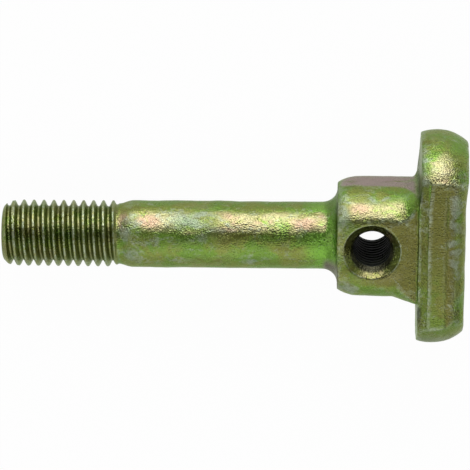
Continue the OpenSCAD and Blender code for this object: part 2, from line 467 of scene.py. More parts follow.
rng = np.random.default_rng(FORGE_SEED)
arm = smooth_step(points[:, 1], *ARM_SIDE) * smooth_step(points[:, 0], *ARM_RISE)
points[:, 0] += ARM_LEAN * arm
move_points(body.data, points)
normals = normals_of(body.data)
slow_waves = forge_waves(points, rng, WAVES, WAVE_SHORT, WAVE_LONG)
ripples = forge_waves(points, rng, WAVES, RIPPLE_SHORT, RIPPLE_LONG)
depth = np.clip(slow_waves, -MOST_WAVE, MOST_WAVE) * UNEVEN
depth += np.clip(ripples, -MOST_WAVE, MOST_WAVE) * RIPPLE
depth -= 0.5 * UNEVEN
depth *= 1 - BAND_CALM * on_band
for *dent, dent_r, dent_depth in DENTS:
    away = np.linalg.norm(points - dent, axis=1) / dent_r
    depth -= dent_depth * np.exp(-2 * away * away)
points = points + normals * depth[:, None]
move_points(body.data, points)
print("forge marks, mm: from", round(float(depth.min()), 3), "to", round(float(depth.max()), 3))

# %% [markdown]
# The end of the body.
# The rolled thread is made as a solid of its own. The body is cut square where the last turn of the thread
# fades out, so that the two can be joined along a plain ring.

# %% Cut the body where the thread ends
FINE_CUT = -44.75

open_edges = cut_off_below(body.data, FINE_CUT)
print("body cut at the thread's end,", open_edges, "open edges")

# %% [markdown]
# Node trees in code.
# A node tree is a list of small steps that are wired together. Three helpers keep the wiring short: one
# adds a node and sets or links its inputs, one does sums, and one maps a value from one range to another.
# The thread and the materials both use them.

# %% Helpers for node trees
def put(tree, kind, inputs=(), **settings):
    """Add a node, set its properties, and give each input a value or a link."""
    node = tree.nodes.new(kind)
    for name, value in settings.items():
        setattr(node, name, value)
    for socket, value in dict(inputs).items():
        if isinstance(value, bpy.types.NodeSocket):
            tree.links.new(value, node.inputs[socket])
        else:
            node.inputs[socket].default_value = value
    return node


def maths(tree, operation, first, second=0.0):
    return put(tree, "ShaderNodeMath", {0: first, 1: second}, operation=operation).outputs[0]


def ranged(tree, value, lows, highs, kind="LINEAR"):
    """Map a value from one range to another: lows and highs are (from, to) pairs."""
    inputs = {"Value": value, "From Min": lows[0], "From Max": highs[0]}
    inputs.update({"To Min": lows[1], "To Max": highs[1]})
    return put(tree, "ShaderNodeMapRange", inputs, interpolation_type=kind).outputs["Result"]


# %% [markdown]
# A thread as a rule.
# A thread is one small form repeated along a helix, so it suits Geometry Nodes. A flat grid has the helix
# along one side and one pitch of the thread form along the other. Each point is moved to its angle, its
# radius and its height, and neighbouring turns are then merged where they meet. One tree, with its sizes as
# inputs, gives the rolled thread here and the tap for the cross hole in a later step.

# %% Build the tree for a helical thread
THREAD_INPUTS = {
    "Columns": "NodeSocketInt",
    "Rows": "NodeSocketInt",
    "Turns": "NodeSocketFloat",
    "Pitch": "NodeSocketFloat",
    "Start height": "NodeSocketFloat",
    "Start angle": "NodeSocketFloat",
    "Crest radius": "NodeSocketFloat",
    "Root radius": "NodeSocketFloat",
    "Crest flat": "NodeSocketFloat",
    "Root flat": "NodeSocketFloat",
    "Fade from": "NodeSocketFloat",
    "Fade to": "NodeSocketFloat",
    "Faded radius": "NodeSocketFloat",
    "Finish": "NodeSocketMaterial",
}


def thread_tree():
    tree = bpy.data.node_groups.new("helical_thread", "GeometryNodeTree")
    tree.interface.new_socket("Geometry", in_out="OUTPUT", socket_type="NodeSocketGeometry")
    for name, kind in THREAD_INPUTS.items():
        tree.interface.new_socket(name, in_out="INPUT", socket_type=kind)
    given = tree.nodes.new("NodeGroupInput").outputs
    grid_size = {"Size X": 1.0, "Size Y": 1.0, "Vertices X": given["Columns"], "Vertices Y": given["Rows"]}
    grid = put(tree, "GeometryNodeMeshGrid", grid_size)
    place = tree.nodes.new("GeometryNodeInputPosition")
    sides = put(tree, "ShaderNodeSeparateXYZ", {0: place.outputs[0]})
    turns = maths(tree, "MULTIPLY", maths(tree, "ADD", sides.outputs["X"], 0.5), given["Turns"])
    share = maths(tree, "ADD", sides.outputs["Y"], 0.5)
    angle = maths(tree, "ADD", maths(tree, "MULTIPLY", turns, 2 * math.pi), given["Start angle"])
    climb = maths(tree, "MULTIPLY", maths(tree, "ADD", turns, share), given["Pitch"])
    height = maths(tree, "ADD", climb, given["Start height"])
    from_crest = maths(tree, "ABSOLUTE", maths(tree, "SUBTRACT", maths(tree, "MULTIPLY", share, 2.0), 1.0))
    crest = (given["Crest flat"], given["Crest radius"])
    root = (given["Root flat"], given["Root radius"])
    full = ranged(tree, from_crest, crest, root, "SMOOTHSTEP")
    from_middle = maths(tree, "ABSOLUTE", height)
    fade = ranged(tree, from_middle, (given["Fade from"], 0.0), (given["Fade to"], 1.0))
    radius = ranged(tree, fade, (0.0, full), (1.0, given["Faded radius"]))
    across = maths(tree, "MULTIPLY", radius, maths(tree, "COSINE", angle))
    along = maths(tree, "MULTIPLY", radius, maths(tree, "SINE", angle))
    spot = put(tree, "ShaderNodeCombineXYZ", {"X": across, "Y": along, "Z": height})
    moved_inputs = {"Geometry": grid.outputs["Mesh"], "Position": spot.outputs[0]}
    moved = put(tree, "GeometryNodeSetPosition", moved_inputs)
    merge_inputs = {"Geometry": moved.outputs[0], "Distance": WELD}
    merged = put(tree, "GeometryNodeMergeByDistance", merge_inputs)
    real = put(tree, "GeometryNodeRealizeInstances", {"Geometry": merged.outputs[0]})
    finish_inputs = {"Geometry": real.outputs[0], "Material": given["Finish"]}
    finished = put(tree, "GeometryNodeSetMaterial", finish_inputs)
    put(tree, "NodeGroupOutput", {0: finished.outputs[0]})
    return tree


helix_tree = thread_tree()
print("thread tree:", len(helix_tree.nodes), "nodes,", len(THREAD_INPUTS), "inputs")

# %% [markdown]
# The rolled thread.
# The real thread is pressed into the blank by two dies, so its crests are rounded and stand a little proud
# of the blank, and the last turn fades out. The skin from the tree is drawn a little too long at both ends.
# Capping it makes it a closed solid, and the part that it shares with a turned blank, which has the chamfer
# and the lead of the tip, is the finished end.

# %% Helpers for solids that cut and join
zinc = bpy.data.materials.new("yellow_zinc_plate")
ROUND_STEPS = 128


def helix_solid(name, sizes):
    """A closed solid with a helical thread on it, along Z."""
    piece = mesh_object(name, bpy.data.meshes.new(name))
    helix = piece.modifiers.new("helix", "NODES")
    helix.node_group = helix_tree
    for item in helix_tree.interface.items_tree:
        if item.in_out == "INPUT":
            helix[item.identifier] = sizes[item.name]
    piece = baked(piece)
    bm = bmesh.new()
    bm.from_mesh(piece.data)
    rim = [edge for edge in bm.edges if edge.is_boundary]
    middle = sum((vert.co.z for edge in rim for vert in edge.verts), 0.0) / (2 * len(rim))
    for lower in (True, False):
        loop = [edge for edge in rim if (edge.verts[0].co.z < middle) == lower]
        heights = [vert.co.z for edge in loop for vert in edge.verts]
        centre = bm.verts.new((0, 0, sum(heights) / len(heights)))
        for edge in loop:
            bm.faces.new((edge.verts[0], edge.verts[1], centre))
    bmesh.ops.recalc_face_normals(bm, faces=bm.faces)
    bm.to_mesh(piece.data)
    bm.free()
    return piece


def turned_solid(name, profile):
    """A profile of (radius, height) pairs, from axis to axis, turned round Z."""
    bm = bmesh.new()
    turn = [2 * math.pi * step / ROUND_STEPS for step in range(ROUND_STEPS)]
    rings = []
    for r, z in profile:
        if r == 0:
            rings.append([bm.verts.new((0, 0, z))] * ROUND_STEPS)
        else:
            rings.append([bm.verts.new((r * math.cos(a), r * math.sin(a), z)) for a in turn])
    for lower, upper in zip(rings, rings[1:]):
        for step in range(ROUND_STEPS):
            after = (step + 1) % ROUND_STEPS
            corners = (lower[step], lower[after], upper[after], upper[step])
            bm.faces.new(dict.fromkeys(corners))
    bmesh.ops.recalc_face_normals(bm, faces=bm.faces)
    mesh = bpy.data.meshes.new(name)
    bm.to_mesh(mesh)
    bm.free()
    return mesh_object(name, mesh)


def combined(piece, operation, tool):
    """The piece after a Boolean with the tool, which is used up."""
    step = piece.modifiers.new("shape", "BOOLEAN")
    step.operation = operation
    step.solver = "MANIFOLD"
    step.object = tool
    result = baked(piece)
    bpy.data.objects.remove(tool)
    return result


# %% Roll the thread and trim its tip
TIP_U = -62.5
PITCH = 1.5
THREAD_R = 5.0
THREAD_DEPTH = 0.6134 * PITCH
FADE_FROM, FADE_TO = 16.9, 17.7
BLANK_R = 4.55
BLANK_END = 17.95
SPARE = 2
THREAD_TURNS = 15
THREAD_STEPS = 84
THREAD_ROWS = 12
THREAD_START = math.radians(278)
# Radius and height of the turned blank: the domed face, the chamfer and lead, and a plain end
BLANK_PROFILE = [
    (0, 0.0), (1.5, 0.035), (3.0, 0.14), (3.8, 0.226), (3.98, 0.29), (4.1, 0.36), (4.62, 0.87), (4.76, 1.1),
    (5.3, 5.05), (6.0, 5.05), (6.0, BLANK_END), (4.3, BLANK_END + 0.3), (4.3, BLANK_END + 1.5),
    (0, BLANK_END + 1.5),
]

rolled = helix_solid("rolled_thread", {
    "Columns": THREAD_TURNS * THREAD_STEPS + 1,
    "Rows": THREAD_ROWS + 1,
    "Turns": float(THREAD_TURNS),
    "Pitch": PITCH,
    "Start height": -(SPARE + 0.5) * PITCH,
    "Start angle": THREAD_START,
    "Crest radius": THREAD_R,
    "Root radius": THREAD_R - THREAD_DEPTH,
    "Crest flat": 0.06,
    "Root flat": 0.92,
    "Fade from": FADE_FROM,
    "Fade to": FADE_TO,
    "Faded radius": BLANK_R,
    "Finish": zinc,
})
blank = turned_solid("thread_blank", BLANK_PROFILE)
rolled = combined(rolled, "INTERSECT", blank)
along_axis = Matrix(((0, 0, 1, TIP_U), (1, 0, 0, 0), (0, 1, 0, 0), (0, 0, 0, 1)))
rolled.data.transform(along_axis)
thread_faces = len(rolled.data.polygons)
bolt = combined(body, "UNION", rolled)
bolt.name = "forged_bolt"
print("rolled thread:", thread_faces, "faces; joined to the body:", len(bolt.data.polygons), "faces")

# %% [markdown]
# The tapped cross hole.
# The hole is drilled and tapped after forging, so its edges are crisp where the rest is soft. Closing the
# relaxed hole with a plug and cutting it again keeps them so. The tap is the same helix with other sizes, a
# seven millimetre thread with a pitch of one, and its first and last turns fade out. Two short cones then
# cut the countersinks.

# %% Tap the hole and countersink both faces
HOLE_R = mounts["cross_hole"]["dims"]["r_mm"]
HOLE_MAJOR_R = 3.5
HOLE_PITCH = 1.0
CUT_ROOM = 0.1
CREST_IN = 0.12
SINK_RINGS = 16
# How far the countersink's cone goes on inside the bore and above the face
SINK_INSIDE, SINK_ABOVE = 0.6, 0.8
TAP_FADE = (4.4, 5.4)
PLUG_R = 3.9
PLUG_HALF = 6.4
TAP_TURNS = 20
TAP_STEPS = 60
TAP_ROWS = 8

tap = helix_solid("tap", {
    "Columns": TAP_TURNS * TAP_STEPS + 1,
    "Rows": TAP_ROWS + 1,
    "Turns": float(TAP_TURNS),
    "Pitch": HOLE_PITCH,
    "Start height": -(TAP_TURNS + 1) / 2 * HOLE_PITCH,
    "Start angle": 0.0,
    "Crest radius": HOLE_MAJOR_R,
    "Root radius": HOLE_R - CREST_IN,
    "Crest flat": 0.1,
    "Root flat": 0.8,
    "Fade from": TAP_FADE[0],
    "Fade to": TAP_FADE[1],
    "Faded radius": HOLE_R - CREST_IN,
    "Finish": zinc,
})
place_hole = Matrix.Translation((HOLE_U, 0, 0))
plug = turned_solid("plug", [(0, -PLUG_HALF), (PLUG_R, -PLUG_HALF), (PLUG_R, PLUG_HALF), (0, PLUG_HALF)])
plug.data.transform(place_hole)
bolt = combined(bolt, "UNION", plug)
tap.data.transform(place_hole)
bolt = combined(bolt, "DIFFERENCE", tap)
low_r = HOLE_R - SINK_INSIDE
low_z = NECK_HALF - (SINK_R + CUT_ROOM - low_r)
high_r = SINK_R + CUT_ROOM + SINK_ABOVE
high_z = NECK_HALF + SINK_ABOVE
rings = [(r, low_z + r - low_r) for r in np.linspace(low_r, high_r, SINK_RINGS)]
for half_turn in (0.0, math.pi):
    countersink = turned_solid("countersink", [(0, low_z), *rings, (0, high_z)])
    countersink.data.transform(place_hole @ Matrix.Rotation(half_turn, 4, "X"))
    bolt = combined(bolt, "DIFFERENCE", countersink)
print("tapped bolt:", len(bolt.data.polygons), "faces")

# %% [markdown]
# Check the finished mesh.
# A piece that will be printed or simulated has to be one closed skin, so we count open edges here. Faces
# with many corners that the cuts leave are split into triangles first. Edges sharper than a die would
# leave, such as the rim of the hole, keep a sharp shading, and all other faces are shaded smooth.

# %% Clean the mesh and measure it
SHARP = math.radians(38)

bolt_bm = bmesh.new()
bolt_bm.from_mesh(bolt.data)
bmesh.ops.triangulate(bolt_bm, faces=[face for face in bolt_bm.faces if len(face.verts) > 4])
loose = [edge for edge in bolt_bm.edges if not edge.is_manifold]
volume = bolt_bm.calc_volume()
triangles = sum(len(face.verts) - 2 for face in bolt_bm.faces)
bolt_bm.to_mesh(bolt.data)
bolt_bm.free()
bolt.data.shade_smooth()
bolt.data.set_sharp_from_angle(angle=SHARP)
print("finished mesh:", triangles, "triangles,", len(loose), "open edges,", round(volume), "cubic mm")

# %% [markdown]
# What the finish needs to know.
# Plating wears first on outside edges, and its tint follows the place: flats that face away from the bath's
# current stay thinner and look pink. We measure these on the mesh and store them as attributes, which a
# material can read and which stay with the surface. Most are zones: a value that rises over one short
# stretch of the axis and falls over another.

# %% Measure the zones along the axis
# Each zone: where it rises and where it falls, in millimetres along the axis
ZONES = {
    "side_flat": ((-12.2, -11.4), (-0.8, 0.0)),
    "low_fillet": ((-14.4, -13.4), (-12.0, -11.8)),
    # This zone is where shade is painted into the fillets
    "shaded_fillet": ((-14.4, -13.2), (-12.0, -11.8)),
    "fresh_end": ((-18.0, -14.6), (-12.4, -12.0)),
    "neck_end": ((-12.3, -12.0), (-11.2, -9.0)),
    "shank": ((-43.0, -40.0), (-17.0, -14.5)),
    "cone": ((-44.9, -43.6), (-42.0, -39.5)),
    "under_head": ((-0.9, -0.5), (0.4, 0.8)),
    "draft": ((0.0, 0.3), (1.3, 1.7)),
    "draft_tint": ((0.2, 0.4), (1.3, 1.5)),
    "trim_band": ((1.3, 1.5), (4.1, 4.3)),
}
THREAD_EDGE = (-0.1, 0.3)


def store(mesh, name, values):
    layer = mesh.attributes.new(name, "FLOAT", "POINT")
    layer.data.foreach_set("value", values.astype(np.float32))
    print("attribute", name, "mean", round(float(values.mean()), 3))


points = points_of(bolt.data)
edges = edges_of(bolt.data)
normals = normals_of(bolt.data)
u, v, w = points.T
side_v, side_w = np.abs(v), np.abs(w)
normal_u, normal_v, normal_w = normals.T
hole_away = np.hypot(u - HOLE_U, v)
in_thread = smooth_step(-u, -FINE_CUT + THREAD_EDGE[0], -FINE_CUT + THREAD_EDGE[1])
zone = {name: window(u, rise, fall) for name, (rise, fall) in ZONES.items()}
print(len(zone), "zones on", len(points), "points")

# %% [markdown]
# Worn edges.
# Bolts rub on each other at their edges, where the surface bulges. A point's height above the mean of its
# neighbours, divided by the square of their distance, measures that bulge on any mesh, and a few rounds of
# averaging soften its limits. The thread and the hole's rim are left out, because they get wear of their
# own.

# %% Measure the worn edges
WEAR_ROUNDS = 7
LEAST_REACH = 0.08
MOST_BULGE = 3
WORN_BULGE = (0.035, 0.17)
RIM_ROOM = 0.25
LOW_END = (14.2, 15.0)
LOW_END_LESS = 0.7

spread = np.linalg.norm(points[edges[:, 0]] - points[edges[:, 1]], axis=1)
reach = np.bincount(edges.ravel(), np.repeat(spread, 2), len(points))
reach /= np.bincount(edges.ravel(), minlength=len(points))
bulge = ((points - neighbour_mean(points, edges)) * normals).sum(axis=1)
bulge /= np.maximum(reach, LEAST_REACH) ** 2
bulge = np.clip(bulge, -MOST_BULGE, MOST_BULGE) * (1 - in_thread) * (hole_away > SINK_R + RIM_ROOM)
for _ in range(WEAR_ROUNDS):
    bulge = 0.5 * bulge + 0.5 * neighbour_mean(bulge, edges)
worn = smooth_step(bulge, *WORN_BULGE) * (1 - LOW_END_LESS * smooth_step(-v, *LOW_END))
store(bolt.data, "worn_edge", worn)

# %% [markdown]
# Worn creases.
# Two thin lines are worn bright: the countersink's rim, and the crease where the neck's near corner runs
# out. They are thinner than the squares of the mesh, so a spot of wear on single points would look ragged.
# The distance from the line changes evenly from point to point, and the material draws the line where that
# distance is small.

# %% Measure how far the worn creases are
CREASE_W = 5.5
LINE_SLANT = 0.7
CREASE_FAR = 1.0

line_share = np.clip((u - LINE_RUN[0]) / (LINE_RUN[1] - LINE_RUN[0]), 0, 1)
line_v = NECK_SIDE - ROUND_R * (1 + (LAST_SHARE - 1) * line_share)
by_line = (w > CREASE_W) & (line_share > 0) & (line_share < 1)
line_away = np.where(by_line, LINE_SLANT * np.abs(v + line_v), CREASE_FAR)
rim_away = np.where(side_w > CREASE_W, np.abs(hole_away - SINK_R - CUT_ROOM), CREASE_FAR)
store(bolt.data, "crease_away", np.clip(np.minimum(line_away, rim_away), 0, CREASE_FAR))

# %% [markdown]
# Pink, green and gold.
# The neck's side flats and the fillet under the near one have a pink film, which stops at the crease of the
# wide round. The shank's end by the neck is a fresh green. Gold is painted on the faces that turn towards
# the far softbox's reflection, as a painted highlight colour, with a fainter gold on the opposite side and
# the film's own gold in the thread.

# %% Measure the pink and green places and the painted gold highlight
FLAT_NORMAL = (0.90, 0.997)
CREASE_SOFT = (0.0, 0.9)
FILLET_SIDE = (1.5, 3.8)
END_NORMAL, END_RISE = (0.75, 0.95), (5.0, 6.0)
END_BLUSH = 0.25
SINK_ROOM, SINK_W = 0.1, 5.0
# Painted highlight: gold on faces whose normals lie near this direction, where the far softbox's reflection
# falls
HIGHLIGHT_ANGLE = math.radians(43)
HIGHLIGHT_NORMAL = (0.91, 0.99)
FAINT_GOLD, THREAD_GOLD, SINK_LESS = 0.6, 0.4, 0.6

arch_share = np.clip((u - ARCH_RUN[0]) / (ARCH_RUN[1] - ARCH_RUN[0]), 0, 1)
above_crease = w - NECK_HALF + WIDE_W * np.sqrt(1 - arch_share * arch_share)
side_flat = smooth_step(np.abs(normal_v), *FLAT_NORMAL) * zone["side_flat"]
side_flat *= 1 - smooth_step(above_crease, *CREASE_SOFT) * (v > 0)
low_fillet = zone["low_fillet"] * smooth_step(-v, *FILLET_SIDE)
head_end = smooth_step(normal_u, *END_NORMAL) * smooth_step(u, *END_RISE)
store(bolt.data, "pink_blush", np.clip(side_flat + low_fillet + END_BLUSH * head_end, 0, 1))
store(bolt.data, "green_tint", zone["fresh_end"])

sunk = 1.0 * (hole_away < SINK_R + SINK_ROOM) * (side_w > SINK_W)
facing = normals @ np.array((0, math.sin(HIGHLIGHT_ANGLE), math.cos(HIGHLIGHT_ANGLE)))
highlight_and_thread_gold = smooth_step(facing, *HIGHLIGHT_NORMAL) + FAINT_GOLD * smooth_step(-facing, *HIGHLIGHT_NORMAL)
highlight_and_thread_gold = np.maximum(highlight_and_thread_gold, THREAD_GOLD * in_thread) * (1 - SINK_LESS * (sunk > 0))
store(bolt.data, "gold_highlight_and_tone", highlight_and_thread_gold)

# %% [markdown]
# Brown flats and the trimmed band.
# The faces of the cross hole, the band and the draft beside it, the head's near end and the countersinks
# have a thicker, browner film. The band also shows the marks of the trimming tool, so it gets an attribute
# of its own.

# %% Measure the brown flats and the band
BAND_SIDE = (8.62, 8.72)
DRAFT_SIDE = (7.6, 8.0)
FACE_NORMAL, FACE_RISE = (0.90, 0.985), (-12.2, -11.0)
FACE_DEEPER, FACE_LEAST = (-10.0, -4.5), 0.45
NEAR_NORMAL, NEAR_RISE = (0.25, 0.7), (0.0, 0.4)
BAND_DEEPER, BAND_LEAST = (-9.0, 3.0), 0.45
NEAR_END, DRAFT_BROWN, NEAR_BROWN, SINK_BROWN, THREAD_BROWN = 0.9, 0.7, 0.5, 0.7, 0.3

band = zone["trim_band"] * smooth_step(side_w, *BAND_SIDE)
store(bolt.data, "trim_band", band)
face_flat = smooth_step(np.abs(normal_w), *FACE_NORMAL) * smooth_step(u, *FACE_RISE)
face_flat *= FACE_LEAST + (1 - FACE_LEAST) * smooth_step(u, *FACE_DEEPER)
near_end = NEAR_END * smooth_step(-normal_v, *NEAR_NORMAL) * smooth_step(u, *NEAR_RISE)
band_tint = BAND_LEAST + (1 - BAND_LEAST) * smooth_step(v, *BAND_DEEPER)
draft_tint = DRAFT_BROWN * zone["draft_tint"] * smooth_step(side_w, *DRAFT_SIDE) * band_tint
brown_places = [
    face_flat * (1 - band),
    band * band_tint,
    draft_tint,
    NEAR_BROWN * near_end,
    SINK_BROWN * sunk,
    THREAD_BROWN * in_thread,
]
store(bolt.data, "brown_flat", np.max(brown_places, axis=0))

# %% [markdown]
# Handling and painted shade.
# Some places are rubbed more than others: the draft beside the band, the cone behind the thread, the neck's
# end, the tip and the shank. Single patches are dull or rose, where such bolts lie against each other.
# Shade is painted dark into the thread's roots, under the head, at the head's low end, in the fillets and
# inside the countersinks.

# %% Measure rubbed places and patches
NECK_END_NORMAL = (1.0, 0.6)
TIP_RUB = (-62.0, -60.0)
SLOPE_RISE, SLOPE_SIDE = (4.2, 4.6), (6.0, 7.0)
DRAFT_RUB, NECK_END_RUB, SLOPE_RUB, SHANK_RUB = 0.8, 0.7, 0.6, 0.6
# Patches rubbed dull by handling: the place u, v, w, and the half size along the axis and across it
DULL_PATCHES = [
    (-32.6, 3.6, 3.6, 4.2, 2.2),
    (-38.6, 0.8, 5.0, 3.0, 1.2),
    (-31.0, 1.0, 4.9, 1.8, 0.8),
    (-24.0, -2.6, 4.3, 2.6, 1.0),
    (-42.8, 2.0, 4.5, 1.6, 2.6),
    (-42.8, -1.6, 4.6, 1.5, 2.6),
    (-11.4, 6.0, 5.0, 1.6, 2.6),
    (-10.8, -6.2, 6.0, 1.8, 1.6),
    (-6.5, 8.1, 4.4, 5.5, 1.3),
    (0.6, 13.5, 7.5, 1.0, 3.5),
    (5.4, 3.0, 7.8, 0.9, 8.0),
    (-18.0, 3.0, -4.1, 4.0, 2.0),
    (-34.0, -4.2, -2.8, 5.0, 2.0),
    (-6.0, 2.0, -6.9, 3.0, 4.0),
]
# Patches where the film is thin and looks rose, given in the same way
ROSE_PATCHES = [
    (-40.2, 3.4, 3.7, 2.0, 1.1),
    (-16.8, 3.3, 3.8, 2.2, 1.1),
    (-8.6, 6.0, 5.2, 2.0, 1.0),
    (2.6, 10.6, 6.2, 1.6, 1.6),
    (-4.4, 1.5, 6.9, 0.6, 1.6),
    (-44.0, 3.2, 3.2, 0.8, 1.6),
    (-30.0, -3.4, -3.7, 3.0, 1.4),
]


def patch_field(points, patches):
    """How far each point lies inside one of the patches, from zero to one."""
    field = np.zeros(len(points))
    for patch_u, patch_v, patch_w, long, wide in patches:
        away = ((points[:, 0] - patch_u) / long) ** 2
        away += ((points[:, 1] - patch_v) ** 2 + (points[:, 2] - patch_w) ** 2) / wide ** 2
        field = np.maximum(field, np.exp(-away * away))
    return field


draft = zone["draft"] * smooth_step(side_w, *DRAFT_SIDE)
neck_end = zone["neck_end"] * smooth_step(np.abs(normal_u), *NECK_END_NORMAL)
tip = 1 - smooth_step(u, *TIP_RUB)
slope = smooth_step(u, *SLOPE_RISE) * smooth_step(side_w, *SLOPE_SIDE)
rub = DRAFT_RUB * draft + zone["cone"] + NECK_END_RUB * neck_end
rub += tip + SLOPE_RUB * slope + SHANK_RUB * zone["shank"]
store(bolt.data, "rubbed", np.clip(rub, 0, 1))
store(bolt.data, "dull_patch", patch_field(points, DULL_PATCHES))
store(bolt.data, "rose_patch", patch_field(points, ROSE_PATCHES))

# %% Measure where shade is painted
ROOT_SHARE = (0.0, 0.5)
LOW_END_SHADE = (12.5, 14.5)
UNDER_NORMAL = (0.15, 0.5)
UNDER_RISE, UNDER_FALL = (8.0, 8.5), (8.6, 13.5)
FILLET_SHADE_SIDE = (3.0, 5.0)
# The edge of the painted shade in the countersink lies further out on the near side
SINK_SHADE_R, SINK_SHADE_LEAN, SINK_SHADE_LEAST, SINK_SHADE_MOST = 3.25, 0.09, 3.05, 3.6
SINK_SHADE_SOFT_IN, SINK_SHADE_SOFT_OUT = 0.15, 0.1

thread_height = in_thread * smooth_step(np.hypot(v, w), THREAD_R - THREAD_DEPTH, THREAD_R)
store(bolt.data, "thread_height", thread_height)
roots = in_thread * (1 - smooth_step(thread_height, *ROOT_SHARE))
low_end = near_end * smooth_step(-v, *LOW_END_SHADE)
under_head = smooth_step(-normal_u, *UNDER_NORMAL) * zone["under_head"]
under_head *= window(side_v, UNDER_RISE, UNDER_FALL)
sink_shade_edge = np.clip(SINK_SHADE_R - SINK_SHADE_LEAN * v, SINK_SHADE_LEAST, SINK_SHADE_MOST)
sink_shade = 1 - smooth_step(hole_away, sink_shade_edge - SINK_SHADE_SOFT_IN, sink_shade_edge + SINK_SHADE_SOFT_OUT)
sink_shade *= side_w > SINK_W
fillet = zone["shaded_fillet"] * smooth_step(side_v, *FILLET_SHADE_SIDE)
# Painted shade: the thread's roots, the head's low end, under the head, inside the countersinks and the
# fillets
shade_parts = [0.3 * roots, 0.5 * low_end, 0.8 * under_head, 0.95 * sink_shade, 0.5 * fillet, 0.78 * low_fillet]
store(bolt.data, "painted_shade", np.max(shade_parts, axis=0))

# %% [markdown]
# Yellow zinc plate.
# Zinc plate dipped in chromate turns a thin film of mixed colour: olive and leaf green, gold and pink lie
# side by side, as on a soap bubble. A metal surface takes that colour in its base colour. The patterns are
# noise of several sizes. They read object coordinates, turned into the bolt's frame by a Mapping node, so
# that sizes in the nodes are millimetres, and each one is moved aside, so that it doesn't repeat another.

# %% Helpers for the plate's material, and its noise
def attribute(tree, name):
    return put(tree, "ShaderNodeAttribute", attribute_name=name).outputs["Fac"]


def noise(tree, place, size, detail=3.0, roughness=0.6, distortion=0.0):
    """Noise whose blots are about this many millimetres across."""
    inputs = {"Vector": place, "Scale": 1 / size}
    inputs.update({"Detail": detail, "Roughness": roughness, "Distortion": distortion})
    return put(tree, "ShaderNodeTexNoise", inputs).outputs["Fac"]


def shifted(tree, place, offset, stretch=(1, 1, 1)):
    """The same place moved and stretched, so that another noise doesn't repeat the first."""
    moved = put(tree, "ShaderNodeVectorMath", {0: place, 1: offset}, operation="ADD").outputs[0]
    return put(tree, "ShaderNodeVectorMath", {0: moved, 1: stretch}, operation="MULTIPLY").outputs[0]


zinc.use_nodes = True
plate = zinc.node_tree
plate.nodes.clear()
object_place = plate.nodes.new("ShaderNodeTexCoord").outputs["Object"]
to_bolt = put(plate, "ShaderNodeMapping", {"Vector": object_place})
to_bolt.inputs["Location"].default_value = world_to_bolt.translation
to_bolt.inputs["Rotation"].default_value = world_to_bolt.to_euler("XYZ")
to_bolt.inputs["Scale"].default_value = (1 / MM, 1 / MM, 1 / MM)
place = to_bolt.outputs[0]
warm_place = shifted(plate, place, (31, 17, 5), (0.5, 1, 1))
blotch_place = shifted(plate, place, (7, 3, 11), (0.7, 1, 1))
smear_place = shifted(plate, place, (3, 9, 2), (0.6, 1, 1))
scratch_place = shifted(plate, place, (13, 5, 21), (0.6, 1, 1))
stain_place = shifted(plate, place, (43, 2, 8), (0.45, 1, 1))
shear_place = shifted(plate, place, (0, 0, 0), (0.12, 4.0, 4.0))
slow = noise(plate, place, 4.5, detail=4.0, distortion=0.4)
warm = noise(plate, warm_place, 6.0, detail=4.0)
blotch = noise(plate, blotch_place, 2.4, detail=5.0, roughness=0.7, distortion=0.6)
smear = noise(plate, smear_place, 2.0, detail=2.0, roughness=0.5, distortion=0.8)
scratch = noise(plate, scratch_place, 1.4, detail=2.0, roughness=0.5, distortion=0.4)
stain = noise(plate, stain_place, 1.7, detail=4.0, roughness=0.65, distortion=0.5)
shear = noise(plate, shear_place, 1.0)
fine = noise(plate, place, 0.55)
grain = noise(plate, place, 0.21, detail=1.0, roughness=0.5)
print("noise patterns:", sum(node.type == "TEX_NOISE" for node in plate.nodes))

# %% [markdown]
# The film's tints.
# Colours are laid over each other as a painter would: olive and leaf green first, then the tints that
# follow the place, each broken up by a noise so that no zone shows its edge.

# %% Mix the film's tints
OLIVE = (0.225, 0.265, 0.05, 1)
LEAF = (0.16, 0.29, 0.035, 1)
FRESH = (0.185, 0.40, 0.045, 1)
BROWN = (0.15, 0.14, 0.03, 1)
GOLD = (0.38, 0.35, 0.17, 1)
ROSE = (0.43, 0.28, 0.19, 1)
HAZE = (0.33, 0.39, 0.36, 1)
PINK = (0.41, 0.275, 0.315, 1)
BROWN_SHARE = 0.9


def over(tree, under, colour, amount):
    """Lay a colour over another by an amount from zero to one."""
    mix = put(tree, "ShaderNodeMix", {0: amount, 7: colour}, data_type="RGBA")
    if isinstance(under, bpy.types.NodeSocket):
        tree.links.new(under, mix.inputs[6])
    else:
        mix.inputs[6].default_value = under
    return mix.outputs[2]


def between(tree, value, low, high, top=1.0):
    """Zero up to the low value and top from the high one, with a smooth rise between them."""
    return ranged(tree, value, (low, 0.0), (high, top), "SMOOTHSTEP")


def masked(tree, name, pattern, low, high, top=1.0):
    """A stored attribute, broken up by a noise pattern."""
    return maths(tree, "MULTIPLY", attribute(tree, name), between(tree, pattern, low, high, top))


dull = masked(plate, "dull_patch", blotch, 0.26, 0.46)
not_dull = maths(plate, "SUBTRACT", 1.0, dull)
# Painted highlight colour: gold, partly rose, where the far softbox's reflection falls; the thread's own
# gold
gold_highlight_and_tone = maths(plate, "MULTIPLY", masked(plate, "gold_highlight_and_tone", blotch, 0.32, 0.56), not_dull)
rose_on_gold = maths(plate, "MULTIPLY", gold_highlight_and_tone, between(plate, warm, 0.50, 0.62, 0.9))
hazy = maths(plate, "MULTIPLY", dull, between(plate, smear, 0.44, 0.62, 0.45))

tint = over(plate, OLIVE, LEAF, between(plate, slow, 0.40, 0.60))
tint = over(plate, tint, FRESH, attribute(plate, "green_tint"))
tint = over(plate, tint, BROWN, maths(plate, "MULTIPLY", attribute(plate, "brown_flat"), BROWN_SHARE))
